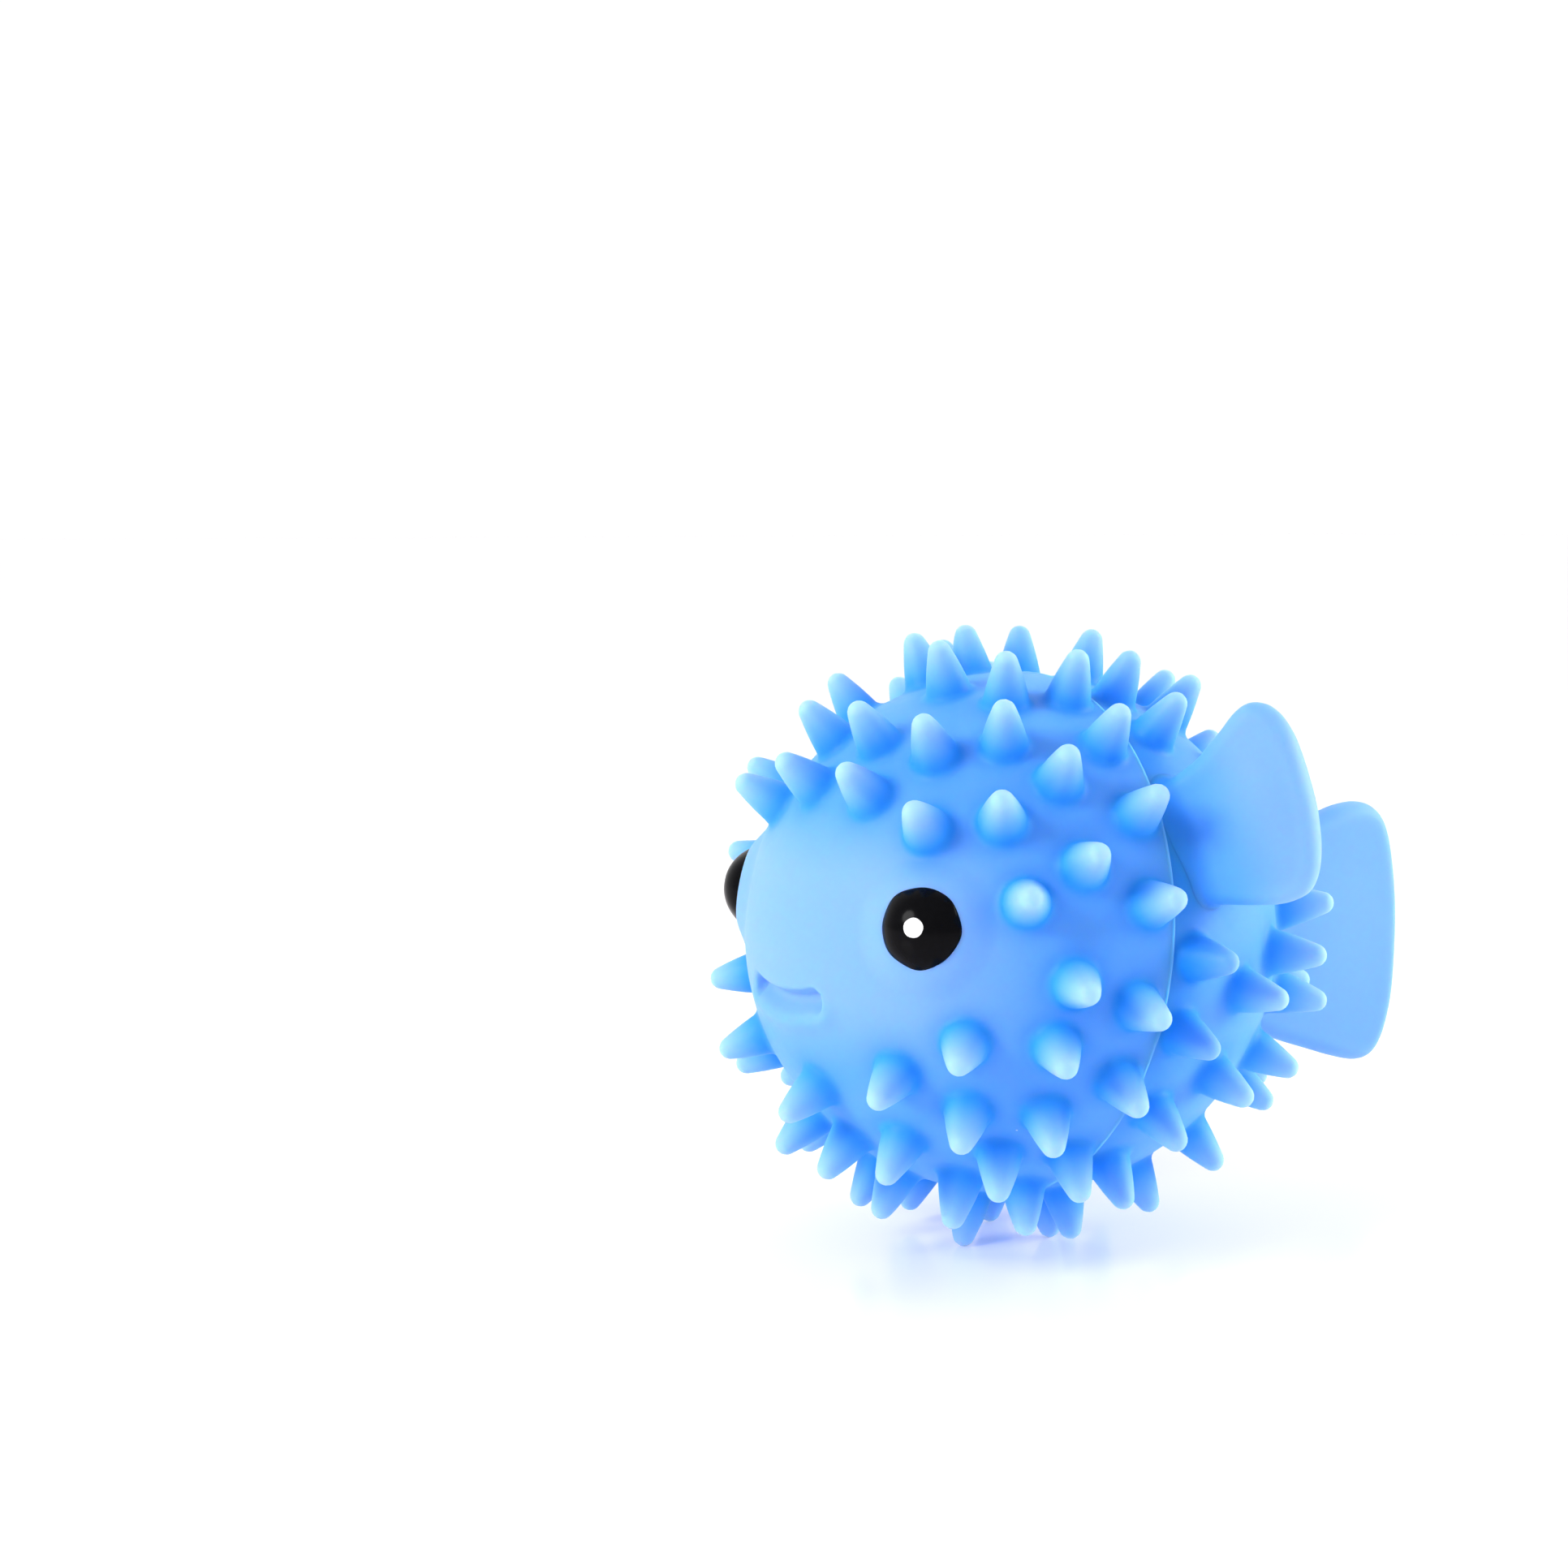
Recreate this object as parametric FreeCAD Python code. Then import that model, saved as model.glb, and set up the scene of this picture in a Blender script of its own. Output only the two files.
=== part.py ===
import FreeCAD, Part
import math
import os
from FreeCAD import Vector, Rotation, Placement

# Puffer fish dryer ball: a hollow soft ball moulded in two halves, with blunt
# spikes, a pair of side fins, a tail fan, black domed eyes and a small mouth.
# Lengths in mm, angles in degrees. +Z up, the nose points to -Y, the tail to +Y.

# body: an egg slightly longer from nose to tail than it is wide
BODY_R = 29.0
BODY_STRETCH = 1.035
WALL = 2.8
SEAM_Y = -1.48
NOSE_UP = 8.0

# spikes: a round tip on a cone, set square to the skin
SPIKE_TIP_R = 1.2
SPIKE_HALF_ANGLE = 15.4
SPIKE_ROOT_DEPTH = 1.2
SPIKE_ROOT_R = 2.52

# eyes: a raised skirt on the skin, a black cap on it, a white dot on the cap
EYE_AZIMUTH = 36.7
FACE_TURN = 1.9  # the pair of eyes sits this many degrees towards the fish's right
EYE_ELEVATION = 3.8
EYE_PLANE = 30.45
EYE_R = 4.2
EYE_DOME_R = 5.0
EYE_SKIRT_R = 6.3
EYE_SKIRT_DEPTH = 2.2
EYE_DOT_R = 1.15
EYE_DOT_PROUD = 0.06
EYE_DOT_DEPTH = 0.30

# mouth: a shallow groove that follows the skin
MOUTH_R = 1.35
MOUTH_POINTS = [(4.55, -28.75, -7.45), (-0.90, -28.95, -8.35), (-6.25, -28.10, -7.80)]

# side fins: a thick paddle swept back from the widest part of the body
FIN_ROOT = (25.59, 2.76)
FIN_SWEEP = 30.0
FIN_THICK = 4.4
FIN_EDGE = 1.6
FIN_OUTLINE = [
    (-1.0, 21.5), (0.3, 23.3), (1.4, 24.9), (2.5, 26.7), (3.6, 27.8), (4.8, 28.2),
    (6.2, 28.0), (7.6, 27.1), (8.9, 25.6), (9.9, 23.9), (11.0, 21.6), (12.2, 18.7),
    (13.0, 15.9), (13.4, 13.6), (13.4, 11.5), (12.8, 9.7), (11.4, 8.6), (9.6, 7.9),
    (7.2, 7.5), (4.6, 7.2),
]
FIN_HEEL = [(1.6, 6.9), (-5.0, 9.0), (-5.5, 19.0)]

# tail: a thick upright fan on the middle plane, given with the fish nose up
TAIL_THICK = 5.0
TAIL_EDGE = 2.0
TAIL_OUTLINE = [
    (40.0, 8.4), (44.0, 9.3), (47.5, 10.1), (50.5, 10.8), (53.6, 11.0), (55.9, 10.4),
    (57.8, 8.8), (59.0, 6.3), (59.9, 2.4), (60.5, -2.4), (60.6, -8.0), (60.3, -13.4),
    (59.5, -17.2), (58.3, -20.0), (56.6, -21.7), (54.2, -22.1), (50.6, -21.2),
    (46.0, -19.6), (41.0, -17.8), (36.0, -15.6),
]
TAIL_HEEL = [(30.0, -12.6), (24.0, -9.0), (24.0, 2.0), (30.0, 5.2), (35.0, 7.0)]

# each spike: angle back from the nose, angle round the body from the top
# towards the left side, and the length it stands out of the skin
FRONT_SPIKES = [
    (29.6, -9.0, 5.85), (31.8, -40.2, 5.80), (32.4, 25.7, 5.98), (35.9, 174.9, 5.87),
    (39.4, 51.3, 6.01), (40.4, 135.6, 5.94), (42.6, 7.5, 5.84), (42.7, -135.2, 5.66),
    (43.4, -17.5, 5.88), (47.3, -52.0, 5.66), (47.5, -112.0, 5.66), (47.7, 28.2, 5.98),
    (49.0, 114.6, 6.02), (51.1, 178.6, 5.82), (51.2, -162.8, 6.17), (52.6, 156.7, 5.88),
    (53.4, -79.1, 5.66), (53.8, 55.5, 6.03), (55.1, -132.0, 6.24), (56.1, 76.5, 5.96),
    (56.2, 133.2, 5.98), (58.2, -26.7, 5.66), (60.6, 34.3, 6.06), (62.9, 4.7, 5.88),
    (66.0, 108.6, 6.00), (66.2, -150.3, 5.94), (66.7, 94.0, 6.00), (67.1, -179.6, 5.94),
    (67.1, 48.5, 6.00), (67.5, -107.0, 5.94), (68.0, -88.0, 5.94), (68.0, 19.9, 5.97),
    (68.0, 68.7, 5.98), (68.1, 142.1, 5.94), (68.5, -12.3, 5.94), (69.2, 159.1, 5.94),
    (70.0, -167.8, 6.24), (70.3, 125.8, 5.98), (70.5, -69.0, 5.94), (70.7, -130.6, 6.24),
    (79.5, -56.0, 5.94), (80.0, -114.0, 5.94), (80.0, 40.4, 5.96), (80.3, 97.4, 6.01),
    (80.5, -12.3, 5.80), (80.5, 23.7, 5.99), (81.0, 58.0, 5.95), (81.3, 114.1, 6.01),
    (81.4, 76.7, 5.98), (81.5, 136.6, 5.86), (81.6, 154.0, 5.66), (81.8, -95.4, 5.94),
    (81.9, -76.7, 5.94), (84.2, -40.4, 6.53), (84.5, -25.0, 6.24), (84.6, -164.3, 6.24),
    (84.9, 177.5, 6.57),
]
REAR_SPIKES = [
    (92.4, 102.5, 5.86), (92.6, -143.5, 5.94), (93.0, 139.1, 5.80), (93.1, 87.1, 5.86),
    (93.4, -12.5, 6.24), (93.5, 21.8, 5.87), (93.9, 121.8, 5.88), (95.1, 35.8, 5.92),
    (95.5, -124.8, 5.94), (95.8, 159.0, 5.70), (96.8, 5.4, 5.94), (97.7, -172.8, 5.85),
    (98.7, -29.5, 5.94), (100.7, 171.8, 5.96), (104.1, -93.2, 5.94), (107.6, 114.0, 5.77),
    (109.1, -156.9, 5.94), (109.1, 22.5, 6.00), (109.2, 94.0, 5.84), (110.0, -112.1, 5.94),
    (110.1, -71.2, 5.94), (111.7, 153.7, 5.84), (112.0, -177.0, 6.63), (116.6, 5.9, 5.94),
    (117.1, -28.7, 5.94), (120.6, 140.8, 5.86), (121.1, -140.7, 5.94), (122.4, -88.1, 5.94),
    (124.1, -49.2, 5.94), (124.9, 85.7, 6.24), (127.9, -119.1, 5.94), (128.0, -168.5, 5.94),
    (130.1, 115.2, 5.96), (134.1, -19.6, 5.94), (134.2, 6.0, 5.66), (135.1, 131.4, 5.94),
    (136.4, -71.7, 5.94), (138.2, 71.5, 6.53), (139.5, 99.4, 6.53), (140.9, -99.7, 5.94),
    (142.9, -44.4, 5.94), (144.8, 179.8, 5.94), (146.7, -143.9, 5.94), (148.0, 141.8, 6.24),
    (155.4, 100.0, 6.24), (159.1, -111.2, 5.94), (161.3, -53.3, 5.94),
    (112.0, 57.8, 6.30), (157.0, 31.1, 6.00), (130.0, 39.3, 6.20), (104.5, -49.9, 6.10),
    (94.0, -106.3, 6.20), (148.0, -4.5, 6.30), (106.0, -136.3, 6.00), (115.0, 40.1, 6.20),
    (142.0, 24.7, 6.10), (151.0, -81.0, 6.30), (145.0, 45.0, 6.00),
]


def vec(t):
    return Vector(float(t[0]), float(t[1]), float(t[2]))


def spheroid(radius, long_radius):
    """Solid of revolution about the Y axis."""
    major = max(radius, long_radius)
    minor = min(radius, long_radius)
    curve = Part.Ellipse(Vector(0, major, 0), Vector(minor, 0, 0), Vector(0, 0, 0))
    # the half of the ellipse on the +X side, from one end of the axis to the other
    cutter = Part.makeBox(4 * major, 4 * major, 2, Vector(0, -2 * major, -1))
    edge = curve.toShape().common(cutter).Edges
    wire = Part.Wire(edge + [Part.makeLine(Vector(0, -major, 0), Vector(0, major, 0))])
    face = Part.Face(wire)
    return face.revolve(Vector(0, 0, 0), Vector(0, 1, 0), 360)


def direction(theta, phi):
    t, p = math.radians(theta), math.radians(phi)
    return Vector(math.sin(t) * math.sin(p), -math.cos(t), math.sin(t) * math.cos(p))


def on_skin(u):
    point = Vector(u.x * BODY_R, u.y * BODY_R * BODY_STRETCH, u.z * BODY_R)
    normal = Vector(u.x, u.y / BODY_STRETCH, u.z)
    normal.normalize()
    return point, normal


def spike(theta, phi, length):
    a = math.radians(SPIKE_HALF_ANGLE)
    zc = length - SPIKE_TIP_R
    tx, tz = SPIKE_TIP_R * math.cos(a), zc + SPIKE_TIP_R * math.sin(a)
    zk = tz - (SPIKE_ROOT_R - tx) / math.tan(a)
    am = 0.5 * (math.pi / 2 + a)
    mid = Vector(SPIKE_TIP_R * math.cos(am), 0, zc + SPIKE_TIP_R * math.sin(am))
    top = Vector(0, 0, length)
    edges = [
        Part.makeLine(Vector(0, 0, -SPIKE_ROOT_DEPTH), Vector(SPIKE_ROOT_R, 0, -SPIKE_ROOT_DEPTH)),
        Part.makeLine(Vector(SPIKE_ROOT_R, 0, -SPIKE_ROOT_DEPTH), Vector(SPIKE_ROOT_R, 0, zk)),
        Part.makeLine(Vector(SPIKE_ROOT_R, 0, zk), Vector(tx, 0, tz)),
        Part.Arc(Vector(tx, 0, tz), mid, top).toShape(),
        Part.makeLine(top, Vector(0, 0, -SPIKE_ROOT_DEPTH)),
    ]
    solid = Part.Face(Part.Wire(edges)).revolve(Vector(0, 0, 0), Vector(0, 0, 1), 360)
    point, normal = on_skin(direction(theta, phi))
    solid.Placement = Placement(point, Rotation(Vector(0, 0, 1), normal))
    return solid


def eye_axis(side):
    a, e = math.radians(EYE_AZIMUTH - side * FACE_TURN), math.radians(EYE_ELEVATION)
    return Vector(side * math.sin(a) * math.cos(e), -math.cos(a) * math.cos(e), math.sin(e))


def eye_skirt(side):
    u = eye_axis(side)
    base = u * (EYE_PLANE - EYE_SKIRT_DEPTH)
    return Part.makeCone(EYE_SKIRT_R, EYE_R, EYE_SKIRT_DEPTH, base, u)


def eye_parts(side):
    u = eye_axis(side)
    drop = math.sqrt(EYE_DOME_R ** 2 - EYE_R ** 2)
    centre = u * (EYE_PLANE - drop)
    ball = Part.makeSphere(EYE_DOME_R, centre)
    slab = Part.makeCylinder(EYE_R + 2, 8, u * EYE_PLANE, u)
    cap = ball.common(slab)
    pin = Part.makeCylinder(EYE_DOT_R, 8, u * EYE_PLANE, u)
    outer = Part.makeSphere(EYE_DOME_R + EYE_DOT_PROUD, centre)
    inner = Part.makeSphere(EYE_DOME_R - EYE_DOT_DEPTH, centre)
    dot = outer.common(pin).cut(inner)
    return cap.cut(dot), dot


def mouth_groove():
    a, b, c = [vec(p) for p in MOUTH_POINTS]
    arc = Part.Arc(a, b, c)
    path = Part.Wire([arc.toShape()])
    tangent = arc.tangent(arc.FirstParameter)[0]
    ring = Part.Wire([Part.makeCircle(MOUTH_R, a, tangent)])
    tube = path.makePipeShell([ring], True, True)
    groove = tube
    for end in (a, c):
        groove = groove.fuse(Part.makeSphere(MOUTH_R, end))
    return groove


def smooth_plate(outline, heel, place, thick, edge, normal):
    """A plate of the given thickness whose long free edge is a smooth curve."""
    free = [place(*p) for p in outline]
    spline = Part.BSplineCurve()
    spline.interpolate(free)
    ring = [free[-1]] + [place(*p) for p in heel] + [free[0]]
    edges = [spline.toShape()]
    edges += [Part.makeLine(ring[i], ring[i + 1]) for i in range(len(ring) - 1)]
    face = Part.Face(Part.Wire(edges))
    face.translate(normal * (-thick / 2.0))
    plate = face.extrude(normal * thick)
    rims = []
    for e in plate.Edges:
        if e.Length > 25 and isinstance(e.Curve, Part.BSplineCurve):
            rims.append(e)
    return plate.makeFillet(edge, rims)


def side_fin():
    s = math.radians(FIN_SWEEP)
    out = Vector(math.cos(s), math.sin(s), 0)
    normal = Vector(math.sin(s), -math.cos(s), 0)

    def place(d, z):
        return Vector(FIN_ROOT[0] + d * out.x, FIN_ROOT[1] + d * out.y, z)

    return smooth_plate(FIN_OUTLINE, FIN_HEEL, place, FIN_THICK, FIN_EDGE, normal)


def tail():
    def place(y, z):
        return Vector(0, y, z)

    return smooth_plate(TAIL_OUTLINE, TAIL_HEEL, place, TAIL_THICK, TAIL_EDGE, Vector(1, 0, 0))


def one_solid(shape):
    solids = sorted(shape.Solids, key=lambda s: -s.Volume)
    return solids[0]


# the skin with its spikes and eye skirts, as one outer form
outer = spheroid(BODY_R, BODY_R * BODY_STRETCH)
cavity = spheroid(BODY_R - WALL, BODY_R * BODY_STRETCH - WALL)
spikes = [spike(*row) for row in FRONT_SPIKES + REAR_SPIKES]
skirts = [eye_skirt(1), eye_skirt(-1)]
form = outer.multiFuse(spikes + skirts)
form = form.cut(mouth_groove())

big = 200.0
ahead = Part.makeBox(big, big, big, Vector(-big / 2, SEAM_Y - big, -big / 2))
behind = Part.makeBox(big, big, big, Vector(-big / 2, SEAM_Y, -big / 2))
front_shell = one_solid(form.common(ahead).cut(cavity))
rear_shell = one_solid(form.common(behind).cut(cavity))

# the fins stand on the skin; the tail outline is already nose up
left_fin = one_solid(side_fin().cut(outer))
right_fin = one_solid(side_fin().mirror(Vector(0, 0, 0), Vector(1, 0, 0)).cut(outer))
left_eye, left_dot = eye_parts(1)
right_eye, right_dot = eye_parts(-1)


def nose_up(shape):
    copy = shape.copy()
    copy.rotate(Vector(0, 0, 0), Vector(1, 0, 0), -NOSE_UP)
    return copy


parts = {
    "front_shell": nose_up(front_shell),
    "rear_shell": nose_up(rear_shell),
    "left_fin": nose_up(left_fin),
    "right_fin": nose_up(right_fin),
    "tail_fin": one_solid(tail().cut(nose_up(outer))),
    "left_eye": nose_up(one_solid(left_eye)),
    "right_eye": nose_up(one_solid(right_eye)),
    "left_eye_highlight": nose_up(one_solid(left_dot)),
    "right_eye_highlight": nose_up(one_solid(right_dot)),
}

# the origin goes to the middle of the underside of the whole object
low = [1e9] * 3
high = [-1e9] * 3
for shape in parts.values():
    points = shape.tessellate(0.02)[0]
    for i in range(3):
        low[i] = min(low[i], min(p[i] for p in points))
        high[i] = max(high[i], max(p[i] for p in points))
shift = Vector(-(low[0] + high[0]) / 2, -(low[1] + high[1]) / 2, -low[2])
print("overall size", [round(high[i] - low[i], 2) for i in range(3)])
print("shift of the body centre", [round(v, 3) for v in shift])

os.makedirs("parts", exist_ok=True)
for name, shape in parts.items():
    shape.translate(shift)
    if not shape.isValid() or shape.ShapeType != "Solid":
        print("CHECK", name, shape.ShapeType, shape.isValid())
    print(name, round(shape.Volume, 1), "mm3", len(shape.Faces), "faces")
    shape.exportStep("parts/%s.step" % name)
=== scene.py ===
import bpy
import bmesh
import math
import numpy as np
from mathutils import Vector, Matrix


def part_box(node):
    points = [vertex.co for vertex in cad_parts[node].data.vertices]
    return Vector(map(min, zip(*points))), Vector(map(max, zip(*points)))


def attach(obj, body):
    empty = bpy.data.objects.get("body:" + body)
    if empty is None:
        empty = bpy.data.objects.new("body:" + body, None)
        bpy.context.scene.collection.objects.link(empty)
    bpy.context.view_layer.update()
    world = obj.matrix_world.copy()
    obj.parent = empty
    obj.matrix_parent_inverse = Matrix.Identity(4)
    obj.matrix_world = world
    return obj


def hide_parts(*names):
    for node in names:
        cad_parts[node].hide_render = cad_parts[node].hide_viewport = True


# Puffer fish dryer ball. Everything is worked out in millimetres about the
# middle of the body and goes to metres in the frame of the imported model.

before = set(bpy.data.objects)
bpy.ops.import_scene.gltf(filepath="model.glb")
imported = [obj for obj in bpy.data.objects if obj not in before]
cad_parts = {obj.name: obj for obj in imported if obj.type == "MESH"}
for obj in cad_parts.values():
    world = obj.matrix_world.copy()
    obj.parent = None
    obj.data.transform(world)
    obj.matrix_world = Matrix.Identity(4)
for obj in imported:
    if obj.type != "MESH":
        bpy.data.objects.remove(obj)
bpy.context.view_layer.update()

# middle of the body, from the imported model: the tail's rear edge is 60.61 mm
# behind it and the lowest spike tip is 34.63 mm under it
_tail_lo, _tail_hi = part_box("tail_fin")
_rear_lo, _rear_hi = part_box("rear_shell")
CENTRE = np.array([0.0, _tail_hi.y * 1000 - 60.609, _rear_lo.z * 1000 + 34.634])

R = 29.0
STRETCH = 1.035
NOSE_UP = math.radians(8.0)
SEAM_Y = -1.48
WALL = 2.8
TIP_R = 1.2
SIN_A = math.sin(math.radians(15.4))
SPIKE_BLEND = 0.8
EYE_AZ, EYE_EL = math.radians(36.7), math.radians(3.8)
EYE_PLANE = 30.45

SPIKES = [
    (29.6, -9.0, 5.85), (31.8, -40.2, 5.80), (32.4, 25.7, 5.98), (35.9, 174.9, 5.87),
    (39.4, 51.3, 6.01), (40.4, 135.6, 5.94), (42.6, 7.5, 5.84), (42.7, -135.2, 5.66),
    (43.4, -17.5, 5.88), (47.3, -52.0, 5.66), (47.5, -112.0, 5.66), (47.7, 28.2, 5.98),
    (49.0, 114.6, 6.02), (51.1, 178.6, 5.82), (51.2, -162.8, 6.17), (52.6, 156.7, 5.88),
    (53.4, -79.1, 5.66), (53.8, 55.5, 6.03), (55.1, -132.0, 6.24), (56.1, 76.5, 5.96),
    (56.2, 133.2, 5.98), (58.2, -26.7, 5.66), (60.6, 34.3, 6.06), (62.9, 4.7, 5.88),
    (66.0, 108.6, 6.00), (66.2, -150.3, 5.94), (66.7, 94.0, 6.00), (67.1, -179.6, 5.94),
    (67.1, 48.5, 6.00), (67.5, -107.0, 5.94), (68.0, -88.0, 5.94), (68.0, 19.9, 5.97),
    (68.0, 68.7, 5.98), (68.1, 142.1, 5.94), (68.5, -12.3, 5.94), (69.2, 159.1, 5.94),
    (70.0, -167.8, 6.24), (70.3, 125.8, 5.98), (70.5, -69.0, 5.94), (70.7, -130.6, 6.24),
    (79.5, -56.0, 5.94), (80.0, -114.0, 5.94), (80.0, 40.4, 5.96), (80.3, 97.4, 6.01),
    (80.5, -12.3, 5.80), (80.5, 23.7, 5.99), (81.0, 58.0, 5.95), (81.3, 114.1, 6.01),
    (81.4, 76.7, 5.98), (81.5, 136.6, 5.86), (81.6, 154.0, 5.66), (81.8, -95.4, 5.94),
    (81.9, -76.7, 5.94), (84.2, -40.4, 6.53), (84.5, -25.0, 6.24), (84.6, -164.3, 6.24),
    (84.9, 177.5, 6.57), (92.4, 102.5, 5.86), (92.6, -143.5, 5.94), (93.0, 139.1, 5.80),
    (93.1, 87.1, 5.86), (93.4, -12.5, 6.24), (93.5, 21.8, 5.87), (93.9, 121.8, 5.88),
    (94.0, -106.3, 6.20), (95.1, 35.8, 5.92), (95.5, -124.8, 5.94), (95.8, 159.0, 5.70),
    (96.8, 5.4, 5.94), (97.7, -172.8, 5.85), (98.7, -29.5, 5.94), (100.7, 171.8, 5.96),
    (104.1, -93.2, 5.94), (104.5, -49.9, 6.10), (106.0, -136.3, 6.00), (107.6, 114.0, 5.77),
    (109.1, -156.9, 5.94), (109.1, 22.5, 6.00), (109.2, 94.0, 5.84), (110.0, -112.1, 5.94),
    (110.1, -71.2, 5.94), (111.7, 153.7, 5.84), (112.0, -177.0, 6.63), (112.0, 57.8, 6.30),
    (115.0, 40.1, 6.20), (116.6, 5.9, 5.94), (117.1, -28.7, 5.94), (120.6, 140.8, 5.86),
    (121.1, -140.7, 5.94), (122.4, -88.1, 5.94), (124.1, -49.2, 5.94), (124.9, 85.7, 6.24),
    (127.9, -119.1, 5.94), (128.0, -168.5, 5.94), (130.0, 39.3, 6.20), (130.1, 115.2, 5.96),
    (134.1, -19.6, 5.94), (134.2, 6.0, 5.66), (135.1, 131.4, 5.94), (136.4, -71.7, 5.94),
    (138.2, 71.5, 6.53), (139.5, 99.4, 6.53), (140.9, -99.7, 5.94), (142.0, 24.7, 6.10),
    (142.9, -44.4, 5.94), (144.8, 179.8, 5.94), (145.0, 45.0, 6.00), (146.7, -143.9, 5.94),
    (148.0, -4.5, 6.30), (148.0, 141.8, 6.24), (151.0, -81.0, 6.30), (155.4, 100.0, 6.24),
    (157.0, 31.1, 6.00), (159.1, -111.2, 5.94), (161.3, -53.3, 5.94),
]


CO, SI = math.cos(NOSE_UP), math.sin(NOSE_UP)


def to_row(p):
    """fish frame (mm) to the row frame (m)"""
    q = np.empty_like(p)
    q[:, 0] = p[:, 0]
    q[:, 1] = p[:, 1] * CO + p[:, 2] * SI
    q[:, 2] = -p[:, 1] * SI + p[:, 2] * CO
    return (q + CENTRE) * 0.001


def to_row_level(p):
    """level frame about the body's middle (mm) to the row frame (m)"""
    return (p + CENTRE) * 0.001


def level_to_fish(p):
    q = np.empty_like(p)
    q[:, 0] = p[:, 0]
    q[:, 1] = p[:, 1] * CO - p[:, 2] * SI
    q[:, 2] = p[:, 1] * SI + p[:, 2] * CO
    return q


# ---------------------------------------------------------------- the shape

AX = np.array([R, R * STRETCH, R])


def smooth01(x):
    x = np.clip(x, 0.0, 1.0)
    return x * x * (3 - 2 * x)


def smin(a, b, k):
    h = np.clip(0.5 + 0.5 * (b - a) / k, 0, 1)
    return b + (a - b) * h - k * h * (1 - h)


FACE_TURN = math.radians(1.9)
EYES = []
for s in (1, -1):
    a = EYE_AZ - s * FACE_TURN
    EYES.append(np.array([s * math.sin(a) * math.cos(EYE_EL), -math.cos(a) * math.cos(EYE_EL), math.sin(EYE_EL)]))

# mouth: centre line in the x, z plane of the face, with its ends
MOUTH_X0, MOUTH_X1 = -6.4, 4.7
MOUTH_HALF = 1.42


def mouth_line(x):
    # a shallow smile through the three measured points
    return -8.36 + 0.0267 * (x + 1.1) ** 2


def mouth_depth(p):
    """how far the skin sinks at each point (mm), and how far the lower lip swells"""
    x, y, z = p[:, 0], p[:, 1], p[:, 2]
    xc = np.clip(x, MOUTH_X0, MOUTH_X1)
    dz = z - mouth_line(xc)
    dx = x - xc
    # distance in from the upper edge and the two ends; the floor of the mouth
    # rises without a wall to the lower lip
    low = np.where(dz > 0, dz, dz * 0.5)
    d = MOUTH_HALF - np.sqrt(dx * dx + low * low)
    up = dz / MOUTH_HALF
    sink = 1.40 * smooth01((d + 0.15) / 0.70) * smooth01((up + 1.12) / 1.45)
    # the lower lip swells, and the swelling runs round both ends
    out = np.sqrt(dx * dx + dz * dz) - MOUTH_HALF
    ring = np.exp(-(((out - 0.75) / 0.85) ** 2))
    lip = ring * (0.06 + 0.40 * smooth01((0.35 - up) / 1.5))
    front = smooth01((-y - 15.0) / 5.0)
    return sink * front, lip * front


def body_sdf(p, detail=True):
    q = p / AX
    k0 = np.sqrt((q * q).sum(1))
    q2 = p / (AX * AX)
    k1 = np.sqrt((q2 * q2).sum(1)) + 1e-9
    d = k0 * (k0 - 1.0) / k1
    if not detail:
        return d
    for e in EYES:
        along = p @ e
        rho = np.sqrt(np.maximum((p * p).sum(1) - along * along, 0))
        bump = 1.13 * (1 - smooth01((rho - 3.9) / 3.7))
        d = d - np.where(along > 0, bump, 0.0)
    near = p[:, 1] < -12
    if near.any():
        sink, lip = mouth_depth(p[near])
        d[near] += sink - lip
    return d


def spike_frames():
    out = []
    for th, ph, length in SPIKES:
        t, f = math.radians(th), math.radians(ph)
        u = np.array([math.sin(t) * math.sin(f), -math.cos(t), math.sin(t) * math.cos(f)])
        base = u * AX
        n = u / np.array([1, STRETCH, 1])
        n = n / np.linalg.norm(n)
        out.append((base, n, length))
    return out


SPIKE_FRAMES = spike_frames()


def spike_sdf(p, base, n, length):
    """round cone set on the skin at base, along n"""
    ha = -2.0
    hb = length - TIP_R
    rb = TIP_R
    span = hb - ha
    ra = rb + SIN_A * span
    v = p - (base + n * ha)
    y = v @ n
    x = np.sqrt(np.maximum((v * v).sum(1) - y * y, 0))
    b = SIN_A
    a = math.sqrt(1 - b * b)
    k = x * (-b) + y * a
    d = x * a + y * b - ra
    d = np.where(k < 0, np.sqrt(x * x + y * y) - ra, d)
    d = np.where(k > a * span, np.sqrt(x * x + (y - span) ** 2) - rb, d)
    # the sides swell a little between root and tip
    h = y + ha
    d = d - 0.10 * np.sin(math.pi * np.clip(h / (length - 0.3), 0, 1))
    return d, h


SPIKE_MID = np.array([b + n * (l * 0.4) for b, n, l in SPIKE_FRAMES])


def ball_sdf(p):
    d = body_sdf(p)
    c = (p.min(0) + p.max(0)) / 2
    reach = 7.0 + np.sqrt(((p - c) ** 2).sum(1).max())
    for i in np.flatnonzero(((SPIKE_MID - c) ** 2).sum(1) < reach * reach):
        base, n, length = SPIKE_FRAMES[i]
        v = p - SPIKE_MID[i]
        near = (v * v).sum(1) < 49.0
        if near.any():
            ds, _ = spike_sdf(p[near], base, n, length)
            d[near] = smin(d[near], ds, SPIKE_BLEND)
    return d


def in_cells(func, p, size=7.0):
    """runs func on the points one small cube of space at a time"""
    key = np.floor(p / size).astype(np.int64) + 64
    key = (key[:, 0] * 128 + key[:, 1]) * 128 + key[:, 2]
    order = np.argsort(key, kind="stable")
    cuts = np.flatnonzero(np.diff(key[order])) + 1
    out = None
    for part in np.split(order, cuts):
        r = func(p[part])
        if out is None:
            out = np.empty((len(p),) + r.shape[1:])
        out[part] = r
    return out


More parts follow.
